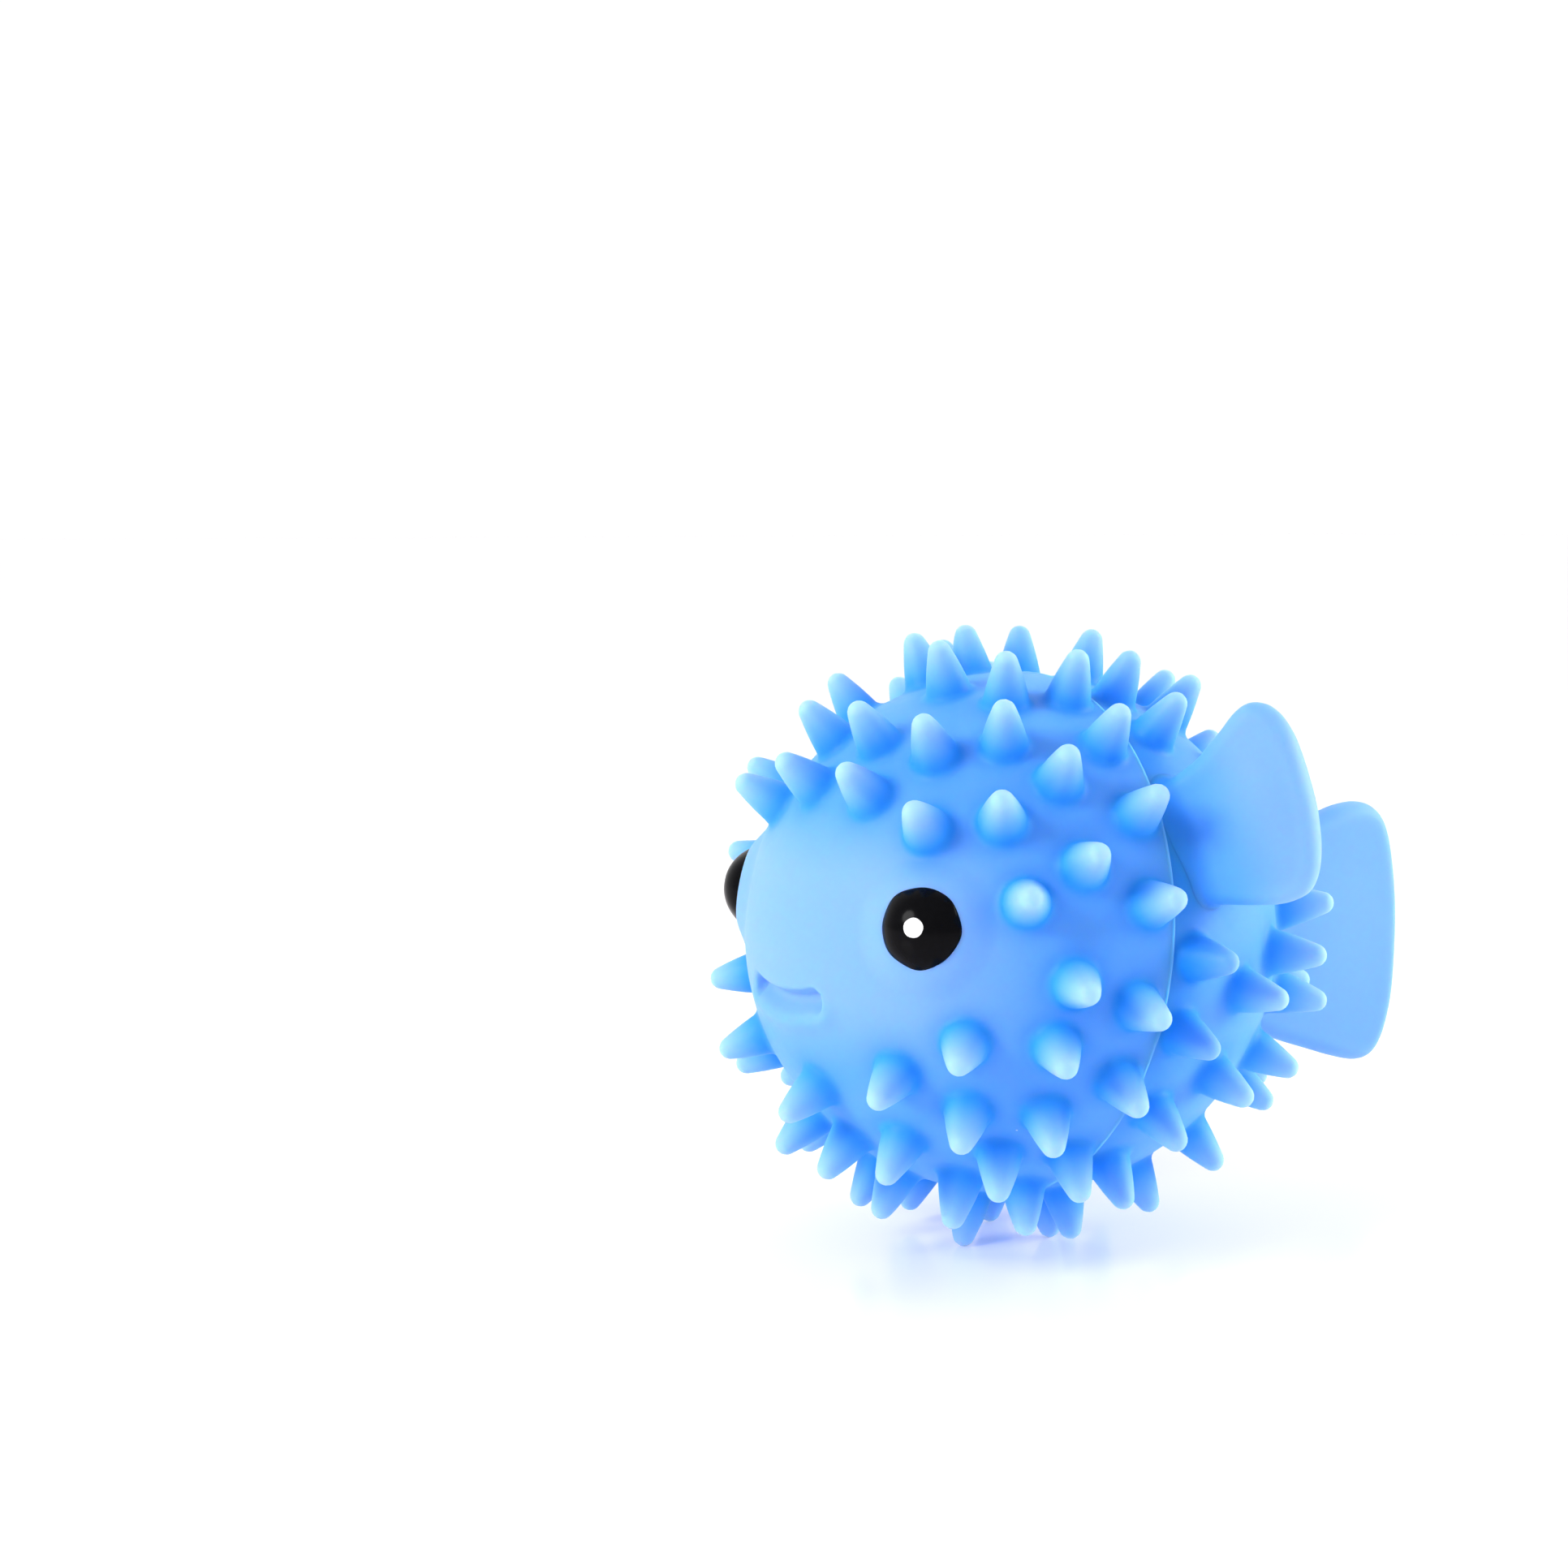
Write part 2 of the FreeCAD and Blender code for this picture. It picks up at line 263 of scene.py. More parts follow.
# outlines of the fins, as in the CAD model
FIN_ROOT = np.array([25.59, 2.76])
FIN_SWEEP = math.radians(30.0)
FIN_OUT = [
    (-1.0, 21.5), (0.3, 23.3), (1.4, 24.9), (2.5, 26.7), (3.6, 27.8), (4.8, 28.2),
    (6.2, 28.0), (7.6, 27.1), (8.9, 25.6), (9.9, 23.9), (11.0, 21.6), (12.2, 18.7),
    (13.0, 15.9), (13.4, 13.6), (13.4, 11.5), (12.8, 9.7), (11.4, 8.6), (9.6, 7.9),
    (7.2, 7.5), (4.6, 7.2), (1.6, 6.9), (-1.5, 7.6), (-5.0, 9.5), (-5.5, 14.0), (-4.5, 18.0),
]
TAIL_OUT = [
    (40.0, 8.4), (44.0, 9.3), (47.5, 10.1), (50.5, 10.8), (53.6, 11.0), (55.9, 10.4),
    (57.8, 8.8), (59.0, 6.3), (59.9, 2.4), (60.5, -2.4), (60.6, -8.0), (60.3, -13.4),
    (59.5, -17.2), (58.3, -20.0), (56.6, -21.7), (54.2, -22.1), (50.6, -21.2),
    (46.0, -19.6), (41.0, -17.8), (36.0, -15.6), (30.0, -12.6), (25.0, -9.0),
    (23.5, -3.5), (25.0, 2.0), (30.0, 5.2), (35.0, 7.0),
]


def catmull(points, per=8):
    p = np.array(points, float)
    n = len(p)
    out = []
    for i in range(n):
        p0, p1, p2, p3 = p[i - 1], p[i], p[(i + 1) % n], p[(i + 2) % n]
        for j in range(per):
            t = j / per
            out.append(
                0.5 * ((2 * p1) + (p2 - p0) * t + (2 * p0 - 5 * p1 + 4 * p2 - p3) * t * t + (3 * p1 - p0 - 3 * p2 + p3) * t ** 3)
            )
    return np.array(out)


FIN_LOOP = catmull(FIN_OUT, 6)
TAIL_LOOP = catmull(TAIL_OUT, 6)


def loop_distance(q, loop):
    """signed distance to a closed outline, negative inside"""
    best = np.full(len(q), 1e9)
    inside = np.zeros(len(q), bool)
    n = len(loop)
    for i in range(n):
        a, b = loop[i], loop[(i + 1) % n]
        ab = b - a
        v = q - a
        t = np.clip((v @ ab) / (ab @ ab), 0, 1)
        w = v - t[:, None] * ab
        best = np.minimum(best, (w * w).sum(1))
        cross = (a[1] > q[:, 1]) != (b[1] > q[:, 1])
        xs = a[0] + (q[:, 1] - a[1]) / (b[1] - a[1] + 1e-12) * ab[0]
        inside ^= cross & (q[:, 0] < xs)
    d = np.sqrt(best)
    return np.where(inside, -d, d)


def fin_coords(p, side):
    """along the sweep, height, and across the plate"""
    x = p[:, 0] * side
    dx, dy = x - FIN_ROOT[0], p[:, 1] - FIN_ROOT[1]
    out = dx * math.cos(FIN_SWEEP) + dy * math.sin(FIN_SWEEP)
    across = dx * math.sin(FIN_SWEEP) - dy * math.cos(FIN_SWEEP)
    return out, p[:, 2], across


def plate_sdf(d2, across, half, edge):
    a = d2 + edge
    b = np.abs(across) - half + edge
    return np.minimum(np.maximum(a, b), 0) + np.sqrt(np.maximum(a, 0) ** 2 + np.maximum(b, 0) ** 2) - edge


def fin_sdf(p, side):
    out, z, across = fin_coords(p, side)
    d2 = loop_distance(np.stack([out, z], 1), FIN_LOOP)
    # pillowed, thinner to the rim
    half = 1.70 + 0.85 * np.exp(-(((out - 6.5) / 5.5) ** 2) - (((z - 16.5) / 8.0) ** 2))
    return plate_sdf(d2, across, half, 1.6)


def tail_sdf(p):
    """p in the level frame"""
    d2 = loop_distance(p[:, 1:3], TAIL_LOOP)
    half = 1.95 + 0.75 * np.exp(-(((p[:, 1] - 45.0) / 10.0) ** 2) - (((p[:, 2] + 5.0) / 11.0) ** 2))
    return plate_sdf(d2, p[:, 0], half, 1.85)


def root_piece(fin, body, k, near):
    """a fin with a flared root, closed just under the skin"""
    d = smin(fin + 0.02, body + 0.05, k)
    d = np.maximum(d, -(body + 1.4))
    return np.maximum(d, near)


def fin_flare(p):
    # tight under the fin, softer up its face
    return 0.9 + 1.0 * smooth01((p[:, 2] - 8.0) / 5.0)


def seam_step(y):
    """how much lower the rear half's skin is, near the seam"""
    return 0.16 * np.clip(1 - np.maximum(y - SEAM_Y, 0) / 4.0, 0, 1) ** 2


def left_fin_piece(p):
    f = fin_sdf(p, 1)
    k = fin_flare(p)
    return root_piece(f, body_sdf(p, False) + seam_step(p[:, 1]), k, f - k - 0.3)


def right_fin_piece(p):
    f = fin_sdf(p, -1)
    k = fin_flare(p)
    return root_piece(f, body_sdf(p, False) + seam_step(p[:, 1]), k, f - k - 0.3)


def tail_piece(p):
    f = tail_sdf(p)
    return root_piece(f, body_sdf(level_to_fish(p), False), 2.6, f - 2.9)


def whole_sdf(p):
    """the ball with its fins and tail, for how open each place is"""
    d = ball_sdf(p)
    for side in (1, -1):
        m = (p[:, 0] * side > 17) & (p[:, 1] > -9) & (p[:, 1] < 20) & (p[:, 2] > -1) & (p[:, 2] < 34)
        if m.any():
            d[m] = np.minimum(d[m], fin_sdf(p[m], side))
    m = (p[:, 1] > 20) & (np.abs(p[:, 0]) < 10)
    if m.any():
        q = p[m]
        lev = np.empty_like(q)
        lev[:, 0] = q[:, 0]
        lev[:, 1] = q[:, 1] * CO + q[:, 2] * SI
        lev[:, 2] = -q[:, 1] * SI + q[:, 2] * CO
        d[m] = np.minimum(d[m], tail_sdf(lev))
    return d


def seam_fin_shade(p):
    """painted shade: a dark blue band just behind the seam, strongest between the seam and each side fin"""
    y = p[:, 1] - SEAM_Y
    band = smooth01((y + 0.05) / 0.25) * (1 - smooth01((y - 1.0) / 6.0))
    high = smooth01((p[:, 2] + 16.0) / 14.0) * (1 - smooth01((p[:, 2] - 20.0) / 8.0))
    return band * (0.35 + 0.65 * high * smooth01((np.abs(p[:, 0]) - 8.0) / 6.0))


def openness(p):
    """1 on an open convex place, towards 0 in a crease between pieces; the shell colour darkens towards 0 as painted
    shade
    """
    e = 0.05
    d = whole_sdf(p)
    g = np.stack([whole_sdf(p + np.eye(3)[i] * e) - d for i in range(3)], 1)
    g /= np.maximum(np.sqrt((g * g).sum(1)), 1e-9)[:, None]
    total = np.zeros(len(p))
    weight = 0.0
    for s, w in ((0.8, 0.30), (1.8, 0.30), (3.4, 0.25), (5.5, 0.15)):
        total += w * np.clip((whole_sdf(p + g * s) - d) / s, 0, 1)
        weight += w
    return (total / weight)[:, None]


# ------------------------------------------------------- surface extraction


def surface_nets(func, lo, hi, h):
    """closed quad mesh of func = 0 inside the box, as arrays"""
    lo, hi = np.array(lo, float), np.array(hi, float)
    n = np.ceil((hi - lo) / h).astype(int) + 1
    xs = [lo[i] + h * np.arange(n[i]) for i in range(3)]
    val = np.full(n, 9.0)
    b = 12
    half = math.sqrt(3) * (b / 2 + 1) * h
    for i in range(0, n[0], b):
        for j in range(0, n[1], b):
            for k in range(0, n[2], b):
                xx, yy, zz = xs[0][i : i + b], xs[1][j : j + b], xs[2][k : k + b]
                mid = np.array([[xx.mean(), yy.mean(), zz.mean()]])
                m = float(func(mid)[0])
                if abs(m) > half + 2.0:
                    val[i : i + b, j : j + b, k : k + b] = m
                    continue
                g = np.stack(np.meshgrid(xx, yy, zz, indexing="ij"), -1)
                val[i : i + b, j : j + b, k : k + b] = func(g.reshape(-1, 3)).reshape(g.shape[:3])
    neg = val < 0
    c = [neg[i : n[0] - 1 + i, j : n[1] - 1 + j, k : n[2] - 1 + k] for i in (0, 1) for j in (0, 1) for k in (0, 1)]
    count = sum(a.astype(np.int8) for a in c)
    active = (count > 0) & (count < 8)
    idx = np.full(active.shape, -1, np.int64)
    cells = np.argwhere(active)
    idx[active] = np.arange(len(cells))
    # vertex: mean of the edge crossings
    acc = np.zeros((len(cells), 3))
    hits = np.zeros(len(cells))
    offs = [(i, j, k) for i in (0, 1) for j in (0, 1) for k in (0, 1)]
    cv = [val[cells[:, 0] + o[0], cells[:, 1] + o[1], cells[:, 2] + o[2]] for o in offs]
    for a in range(8):
        for b in range(a + 1, 8):
            oa, ob = np.array(offs[a]), np.array(offs[b])
            if np.abs(oa - ob).sum() != 1:
                continue
            va, vb = cv[a], cv[b]
            m = (va < 0) != (vb < 0)
            t = va[m] / (va[m] - vb[m])
            acc[m] += oa + t[:, None] * (ob - oa)
            hits[m] += 1
    verts = lo + h * (cells + acc / hits[:, None])
    quads = []
    for axis in range(3):
        u, v = [(1, 2), (2, 0), (0, 1)][axis]
        sl0 = [slice(None)] * 3
        sl1 = [slice(None)] * 3
        sl0[axis] = slice(0, -1)
        sl1[axis] = slice(1, None)
        a, b = neg[tuple(sl0)], neg[tuple(sl1)]
        e = np.argwhere(a != b)
        # grid edges with all four cells around them
        ok = (e[:, u] > 0) & (e[:, v] > 0) & (e[:, u] < n[u] - 1) & (e[:, v] < n[v] - 1)
        e = e[ok]
        flip = a[e[:, 0], e[:, 1], e[:, 2]]

        def cell(du, dv):
            q = e.copy()
            q[:, u] += du
            q[:, v] += dv
            return idx[q[:, 0], q[:, 1], q[:, 2]]

        f = np.stack([cell(-1, -1), cell(0, -1), cell(0, 0), cell(-1, 0)], 1)
        f[~flip] = f[~flip][:, ::-1]
        quads.append(f)
    return verts, np.concatenate(quads)


def to_surface(func, p, steps=2):
    """moves the points onto func = 0 along its slope"""
    e = 0.02

    def both(q):
        d = func(q)
        g = [(func(q + np.eye(3)[i] * e) - d) / e for i in range(3)]
        return np.stack([d] + g, 1)

    for _ in range(steps):
        r = in_cells(both, p)
        d, g = r[:, 0], r[:, 1:]
        g2 = (g * g).sum(1)
        ok = g2 > 0.05
        move = np.where(ok[:, None], g * (d / np.maximum(g2, 0.05))[:, None], 0)
        size = np.sqrt((move * move).sum(1))
        move *= np.minimum(1, 0.25 / np.maximum(size, 1e-9))[:, None]
        p = p - move
    return p


def relax(p, f, rounds):
    """evens out the spacing of the quads"""
    for _ in range(rounds):
        acc = np.zeros_like(p)
        cnt = np.zeros(len(p))
        for a in range(4):
            i, j = f[:, a], f[:, (a + 1) % 4]
            np.add.at(acc, i, p[j])
            np.add.at(acc, j, p[i])
            np.add.at(cnt, i, 1)
            np.add.at(cnt, j, 1)
        p = p * 0.5 + 0.5 * acc / np.maximum(cnt, 1)[:, None]
    return p


def mesh_object(name, verts, faces, place):
    me = bpy.data.meshes.new(name)
    me.vertices.add(len(verts))
    me.vertices.foreach_set("co", place(verts).astype(np.float32).ravel())
    faces = np.asarray(faces)
    me.loops.add(faces.size)
    me.loops.foreach_set("vertex_index", faces.ravel().astype(np.int32))
    me.polygons.add(len(faces))
    me.polygons.foreach_set("loop_start", (np.arange(len(faces)) * faces.shape[1]).astype(np.int32))
    me.polygons.foreach_set("loop_total", np.full(len(faces), faces.shape[1], np.int32))
    me.update(calc_edges=True)
    me.validate()
    me.polygons.foreach_set("use_smooth", np.ones(len(me.polygons), bool))
    ob = bpy.data.objects.new(name, me)
    bpy.context.scene.collection.objects.link(ob)
    return ob


def attribute(ob, name, values):
    a = ob.data.attributes.get(name) or ob.data.attributes.new(name, "FLOAT", "POINT")
    a.data.foreach_set("value", np.asarray(values, np.float32))


# ------------------------------------------------------------ skin features


def spike_marks(p):
    """height up the nearest spike (0 to 1), and whether the point is on it, fading onto the skin round the root as
    painted shade
    """
    tip = np.zeros(len(p))
    crease = np.zeros(len(p))
    skin = body_sdf(p, False)
    c = (p.min(0) + p.max(0)) / 2
    reach = 8.0 + np.sqrt(((p - c) ** 2).sum(1).max())
    for i in np.flatnonzero(((SPIKE_MID - c) ** 2).sum(1) < reach * reach):
        base, n, length = SPIKE_FRAMES[i]
        v = p - SPIKE_MID[i]
        near = (v * v).sum(1) < 60.0
        if not near.any():
            continue
        q = p[near]
        ds, h = spike_sdf(q, base, n, length)
        on = np.exp(-((np.maximum(ds, 0) / 0.40) ** 2))
        t = np.clip(h / length, 0, 1)
        better = on > crease[near]
        tn, cn = tip[near], crease[near]
        tn[better], cn[better] = t[better], on[better]
        tip[near], crease[near] = tn, cn
    return np.stack([tip, crease], 1)


def half_ball(name, verts, faces, front):
    """cuts the outer form at the seam and closes it with the inside of the shell"""
    me = bpy.data.meshes.new(name + "_cut")
    me.vertices.add(len(verts))
    me.vertices.foreach_set("co", verts.astype(np.float32).ravel())
    me.loops.add(faces.size)
    me.loops.foreach_set("vertex_index", faces.ravel().astype(np.int32))
    me.polygons.add(len(faces))
    me.polygons.foreach_set("loop_start", (np.arange(len(faces)) * 4).astype(np.int32))
    me.polygons.foreach_set("loop_total", np.full(len(faces), 4, np.int32))
    me.update(calc_edges=True)
    bm = bmesh.new()
    bm.from_mesh(me)
    bpy.data.meshes.remove(me)
    bmesh.ops.bisect_plane(
        bm,
        geom=bm.verts[:] + bm.edges[:] + bm.faces[:],
        dist=0.02,
        plane_co=(0, SEAM_Y, 0),
        plane_no=(0, 1 if front else -1, 0),
        clear_outer=True,
    )
    # drop short edges along the cut
    rim = [v for v in bm.verts if abs(v.co.y - SEAM_Y) < 1e-3]
    bmesh.ops.remove_doubles(bm, verts=rim, dist=0.10)
    # and two more rings of vertices close beside it
    for off in (0.15, 0.33):
        y = SEAM_Y + (-off if front else off)
        bmesh.ops.bisect_plane(
            bm,
            geom=[g for kind in (bm.verts, bm.edges, bm.faces) for g in kind],
            dist=0.03,
            plane_co=(0, y, 0),
            plane_no=(0, 1, 0),
        )
    rim_edges = [e for e in bm.edges if e.is_boundary]
    # walk the rim in order
    link = {}
    for e in rim_edges:
        a, b = e.verts
        link.setdefault(a, []).append(b)
        link.setdefault(b, []).append(a)
    start = rim_edges[0].verts[0]
    loops = []
    seen = set()
    for s in link:
        if s in seen:
            continue
        loop = [s]
        seen.add(s)
        cur = s
        while True:
            nxt = [v for v in link[cur] if v not in seen]
            if not nxt:
                break
            cur = nxt[0]
            seen.add(cur)
            loop.append(cur)
        loops.append(loop)
    loops.sort(key=len)
    loop = loops[-1]
    m = len(loop)
    ri, rl = R - WALL, R * STRETCH - WALL
    sgn = -1 if front else 1
    rings = [loop]
    y0 = SEAM_Y
    th0 = math.asin(y0 / rl)
    ang = [math.atan2(v.co.z, v.co.x) for v in loop]
    steps = 14
    for i in range(steps):
        # from the rim of the hollow to its pole
        th = th0 + (sgn * math.pi / 2 - th0) * (i / steps)
        r, y = ri * math.cos(th), rl * math.sin(th)
        rings.append([bm.verts.new((r * math.cos(a), y, r * math.sin(a))) for a in ang])
    pole = bm.verts.new((0, sgn * rl, 0))
    made = []
    for i in range(len(rings) - 1):
        a, b = rings[i], rings[i + 1]
        for j in range(m):
            k = (j + 1) % m
            made.append(bm.faces.new((a[j], a[k], b[k], b[j])))
    a = rings[-1]
    for j in range(m):
        made.append(bm.faces.new((a[j], a[(j + 1) % m], pole)))
    bmesh.ops.recalc_face_normals(bm, faces=bm.faces[:])
    bm.edges.ensure_lookup_table()
    sharp = set()
    for i in (0, 1):
        for j in range(m):
            e = bm.edges.get((rings[i][j], rings[i][(j + 1) % m]))
            if e is not None:
                e.smooth = False
    for f in bm.faces:
        f.smooth = True
    # the two halves meet in a fine raised line on the front one, and the rear
    # one starts a little lower
    for v in bm.verts:
        d = abs(v.co.y - SEAM_Y)
        rr = math.hypot(v.co.x, v.co.z)
        if rr > ri + 1.2 and d < 4.0:
            wave = 0.75 + 0.25 * math.sin(5 * math.atan2(v.co.z, v.co.x) + 0.6)
            if front:
                amount = 0.12 * wave * math.exp(-((d / 0.22) ** 2)) + 0.03 * max(0.0, 1 - d / 2.5)
            else:
                amount = -0.16 * (1 - d / 4.0) ** 2
            v.co.x *= (rr + amount) / rr
            v.co.z *= (rr + amount) / rr
    co = np.array([v.co[:] for v in bm.verts])
    out = bpy.data.meshes.new(name)
    for v, q in zip(bm.verts, to_row(co)):
        v.co = q
    bm.to_mesh(out)
    bm.free()
    ob = bpy.data.objects.new(name, out)
    bpy.context.scene.collection.objects.link(ob)
    return ob, co


H = 0.42
box_r = R + 7.5
verts, faces = surface_nets(ball_sdf, [-box_r] * 3, [box_r] * 3, H)
verts = to_surface(ball_sdf, verts, 1)
verts = relax(verts, faces, 2)
verts = to_surface(ball_sdf, verts, 2)
print("skin", len(verts), len(faces))

pieces = {}
for name, front in (("front_half", True), ("rear_half", False)):
    ob, co = half_ball(name, verts, faces, front)
    tip, spike_and_root_shade = in_cells(spike_marks, co).T
    outer = body_sdf(co, False) > -1.9
    crease_shade = np.zeros(len(co))
    # painted shade: the less open a place is, the more dark blue is painted on it
    crease_shade[outer] = 1 - in_cells(openness, co[outer])[:, 0]
    attribute(ob, "tip", tip)
    attribute(ob, "spike", spike_and_root_shade)
    # less painted crease shade in the mouth
    if front:
        crease_shade = crease_shade * (1 - 0.65 * smooth01(mouth_depth(co)[0] / 0.3))
    else:
        # painted shade behind the seam, by the fins
        crease_shade = np.maximum(crease_shade, 0.9 * seam_fin_shade(co) * outer)
    attribute(ob, "crease", crease_shade)
    attribute(ob, "rim", np.zeros(len(co)))
    # painted highlight: a pale line along the raised seam on the front half
    seam = np.exp(-((np.abs(co[:, 1] - SEAM_Y) / 0.22) ** 2)) if front else np.zeros(len(co))
    attribute(ob, "seam", seam * outer)
    # painted light: the face, where the key light falls, is made paler
    face = smooth01((-co[:, 1] - 12.0) / 14.0) * smooth01((15.0 - np.abs(co[:, 2] + 1.0)) / 10.0)
    attribute(ob, "face", face)
    pieces[name] = ob


def fin_object(name, func, lo, hi, place, h, rim, fish):
    v, f = surface_nets(func, lo, hi, h)
    v = to_surface(func, v, 1)
    v = relax(v, f, 3)
    v = to_surface(func, v, 2)
    ob = mesh_object(name, v, f, place)
    skin = body_sdf(fish(v), False)
    attribute(ob, "tip", np.full(len(v), 0.34))
    # painted shade: deeper blue near the fin root, where the body shades it
    attribute(ob, "spike", 0.75 * smooth01((skin - 0.2) / 2.0) * (1 - 0.85 * smooth01((skin - 2.0) / 8.0)))
    # painted shade in creases, and behind the seam near the fin root
    crease_shade = 0.6 * (1 - in_cells(openness, fish(v))[:, 0])
    attribute(ob, "crease", np.maximum(crease_shade, 0.9 * seam_fin_shade(fish(v)) * (1 - smooth01((skin - 0.5) / 2.5))))
    attribute(ob, "rim", rim(v))
    attribute(ob, "seam", np.zeros(len(v)))
    # painted light: the side fins, lit more than the tail, are made paler, more so away from the body
    lit_share = 0.65 if name == "tail_fan" else 1.05
    attribute(ob, "face", lit_share * smooth01((skin - 1.5) / 8.0))
    return ob


# painted light: the outer edges of the fins are made paler, as light shines through the thin vinyl
def fin_edge_light(side):
    def f(p):
        out, z, across = fin_coords(p, side)
        d2 = loop_distance(np.stack([out, z], 1), FIN_LOOP)
        return smooth01((d2 + 2.6) / 2.6) * smooth01((out - 5.0) / 6.0)

    return f


def tail_edge_light(p):
    d2 = loop_distance(p[:, 1:3], TAIL_LOOP)
    return smooth01((d2 + 3.0) / 3.0) * smooth01((p[:, 1] - 46.0) / 10.0)


HF = 0.36
same = lambda p: p
pieces["left_paddle"] = fin_object("left_paddle", left_fin_piece, [15, -7, 1], [42, 18, 32], to_row, HF, fin_edge_light(1), same)
pieces["right_paddle"] = fin_object("right_paddle", right_fin_piece, [-42, -7, 1], [-15, 18, 32], to_row, HF, fin_edge_light(-1), same)
pieces["tail_fan"] = fin_object("tail_fan", tail_piece, [-10, 18, -28], [10, 64, 16], to_row_level, HF, tail_edge_light, level_to_fish)


# ------------------------------------------------------------------- eyes


def eye_mesh(name, side):
    """a black dome with a hand painted edge"""
    e = EYES[0] if side > 0 else EYES[1]
    up = np.array([0, 0, 1.0])
    u = np.cross(up, e)
    u /= np.linalg.norm(u)
    v = np.cross(e, u)
    dome, edge_r = 5.0, 4.2
    drop = math.sqrt(dome ** 2 - edge_r ** 2)
    seg, rings = 120, 30
    pts, fcs = [], []
    amax = math.asin(edge_r / dome)
    for i in range(1, rings + 1):
        a = amax * i / rings
        for j in range(seg):
            f = 2 * math.pi * j / seg
            w = 1 + 0.012 * math.sin(3 * f + 0.7) + 0.012 * math.sin(5 * f + 2.1 * side) + 0.007 * math.sin(8 * f + 1.3)
            rr = dome * math.sin(a) * (1 + (w - 1) * (i / rings) ** 4)
            hh = EYE_PLANE - drop + dome * math.cos(a)
            if i == rings:
                hh -= 0.02
            pts.append(e * hh + rr * (u * math.cos(f) + v * 0.99 * math.sin(f)))
    # tucked under the skin, and closed
    for k, (dr, dh) in enumerate(((0.02, -0.30), (-0.4, -0.9))):
        for j in range(seg):
            f = 2 * math.pi * j / seg
            w = 1 + 0.012 * math.sin(3 * f + 0.7) + 0.012 * math.sin(5 * f + 2.1 * side) + 0.007 * math.sin(8 * f + 1.3)
            pts.append(e * (EYE_PLANE + dh) + (edge_r * w + dr) * (u * math.cos(f) + v * 0.99 * math.sin(f)))
    top = len(pts)
    pts.append(e * (EYE_PLANE - drop + dome))
    bottom = len(pts)
    pts.append(e * (EYE_PLANE - 0.9))
    tri = []
    for j in range(seg):
        tri.append((top, j, (j + 1) % seg))
    total = rings + 2
    for i in range(total - 1):
        for j in range(seg):
            a, b = i * seg + j, i * seg + (j + 1) % seg
            fcs.append((a, a + seg, b + seg, b))
    for j in range(seg):
        tri.append((bottom, (total - 1) * seg + (j + 1) % seg, (total - 1) * seg + j))
    me = bpy.data.meshes.new(name)
    me.from_pydata([tuple(q) for q in to_row(np.array(pts))], [], [list(q) for q in tri] + [list(q) for q in fcs])
    me.validate()
    bm = bmesh.new()
    bm.from_mesh(me)
    bmesh.ops.recalc_face_normals(bm, faces=bm.faces[:])
    for f in bm.faces:
        f.smooth = True
    bm.to_mesh(me)
    bm.free()
    ob = bpy.data.objects.new(name, me)
    bpy.context.scene.collection.objects.link(ob)
    return ob


def dot_mesh(name, side):
    """the white paint dot, a low blob with a soft edge"""
    e = EYES[0] if side > 0 else EYES[1]
    up = np.array([0, 0, 1.0])
    u = np.cross(up, e)
    u /= np.linalg.norm(u)
    v = np.cross(e, u)
    dome = 5.0
    drop = math.sqrt(dome ** 2 - 4.2 ** 2)
    seg, rings = 64, 12
    pts, quad, tri = [], [], []
    for i in range(1, rings + 1):
        t = i / rings
        for j in range(seg):
            f = 2 * math.pi * j / seg
            w = 1 + 0.02 * math.sin(2 * f + 0.4 + side) + 0.012 * math.sin(5 * f)
            rr = 1.05 * t * w
            rise = 0.055 * math.sqrt(max(0.0, 1 - t ** 4)) - (0.02 if i == rings else 0)
            hh = EYE_PLANE - drop + math.sqrt(dome ** 2 - rr ** 2) + rise
            pts.append(e * hh + rr * (u * math.cos(f) + v * math.sin(f)))
    for j in range(seg):
        f = 2 * math.pi * j / seg
        rr = 0.9
        pts.append(e * (EYE_PLANE - drop + math.sqrt(dome ** 2 - rr ** 2) - 0.15) + rr * (u * math.cos(f) + v * math.sin(f)))
    top = len(pts)
    pts.append(e * (EYE_PLANE - drop + dome + 0.055))
    bottom = len(pts)
    pts.append(e * (EYE_PLANE - drop + dome - 0.2))
    for j in range(seg):
        tri.append((top, j, (j + 1) % seg))
        tri.append((bottom, rings * seg + (j + 1) % seg, rings * seg + j))
    for i in range(rings):
        for j in range(seg):
            a, b = i * seg + j, i * seg + (j + 1) % seg
            quad.append((a, a + seg, b + seg, b))
    me = bpy.data.meshes.new(name)
    me.from_pydata([tuple(q) for q in to_row(np.array(pts))], [], [list(q) for q in tri + quad])
    bm = bmesh.new()
    bm.from_mesh(me)
    bmesh.ops.recalc_face_normals(bm, faces=bm.faces[:])
    for f in bm.faces:
        f.smooth = True
    bm.to_mesh(me)
    bm.free()
    ob = bpy.data.objects.new(name, me)
    bpy.context.scene.collection.objects.link(ob)
    return ob


pieces["left_eye_dome"] = eye_mesh("left_eye_dome", 1)
pieces["right_eye_dome"] = eye_mesh("right_eye_dome", -1)
pieces["left_eye_dot"] = dot_mesh("left_eye_dot", 1)
pieces["right_eye_dot"] = dot_mesh("right_eye_dot", -1)


# -------------------------------------------------------------- materials


